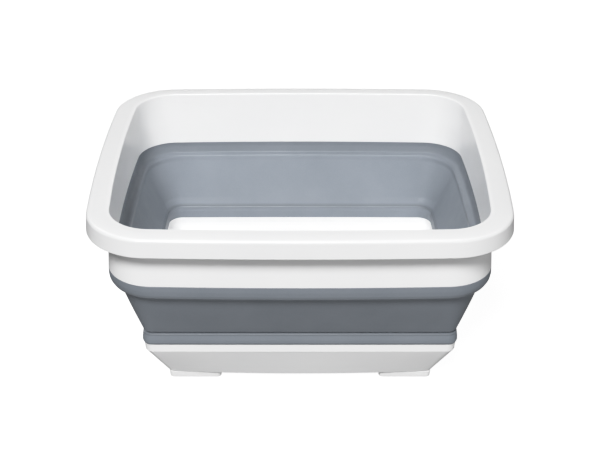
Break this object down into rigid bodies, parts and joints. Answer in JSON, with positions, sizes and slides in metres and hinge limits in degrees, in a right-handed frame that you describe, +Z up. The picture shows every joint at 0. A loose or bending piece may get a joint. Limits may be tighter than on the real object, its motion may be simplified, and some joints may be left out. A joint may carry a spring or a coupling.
{
  "type": "collapsible tub",
  "caption": "Rounded rectangular tub with a rigid white rim and base tray and a soft grey wall between them that folds down when pressed, on low feet.",
  "frame": {"origin": "on the surface that the feet stand on, under the centre of the tub", "axes": "+Z up, +X along the longer side, +Y towards the back"},
  "size_m": [0.3722, 0.3206, 0.18],
  "materials": {
    "rigid_white": "satin moulded polypropylene",
    "soft_grey": "satin thermoplastic rubber",
    "foot_white": "matt non-slip pad"
  },
  "bodies": {
    "base": {"base_tray": "rigid_white", "lower_band": "soft_grey", "foot_front_left": "foot_white", "foot_front_right": "foot_white", "foot_back_left": "foot_white", "foot_back_right": "foot_white"},
    "rim": {"rim_frame": "rigid_white", "upper_band": "soft_grey"},
    "fold_1": {"fold_ring_1": "soft_grey"},
    "fold_2": {"fold_ring_2": "soft_grey"},
    "fold_3": {"fold_ring_3": "soft_grey"},
    "fold_4": {"fold_ring_4": "soft_grey"},
    "fold_5": {"fold_ring_5": "soft_grey"}
  },
  "joints": [
    {"name": "collapse", "type": "slide", "parent": "base", "child": "rim", "axis": [0, 0, 1], "range_m": [-0.096, 0]},
    {"name": "fold_slide_1", "type": "slide", "parent": "base", "child": "fold_1", "axis": [0, 0, 1], "range_m": [-0.0863, 0]},
    {"name": "fold_slide_2", "type": "slide", "parent": "base", "child": "fold_2", "axis": [0, 0, 1], "range_m": [-0.0655, 0]},
    {"name": "fold_slide_3", "type": "slide", "parent": "base", "child": "fold_3", "axis": [0, 0, 1], "range_m": [-0.0466, 0]},
    {"name": "fold_slide_4", "type": "slide", "parent": "base", "child": "fold_4", "axis": [0, 0, 1], "range_m": [-0.0291, 0]},
    {"name": "fold_slide_5", "type": "slide", "parent": "base", "child": "fold_5", "axis": [0, 0, 1], "range_m": [-0.0129, 0]}
  ],
  "couplings": [
    {"joint": "fold_slide_1", "follows": "collapse", "ratio": 0.898},
    {"joint": "fold_slide_2", "follows": "collapse", "ratio": 0.682},
    {"joint": "fold_slide_3", "follows": "collapse", "ratio": 0.485},
    {"joint": "fold_slide_4", "follows": "collapse", "ratio": 0.303},
    {"joint": "fold_slide_5", "follows": "collapse", "ratio": 0.134}
  ]
}
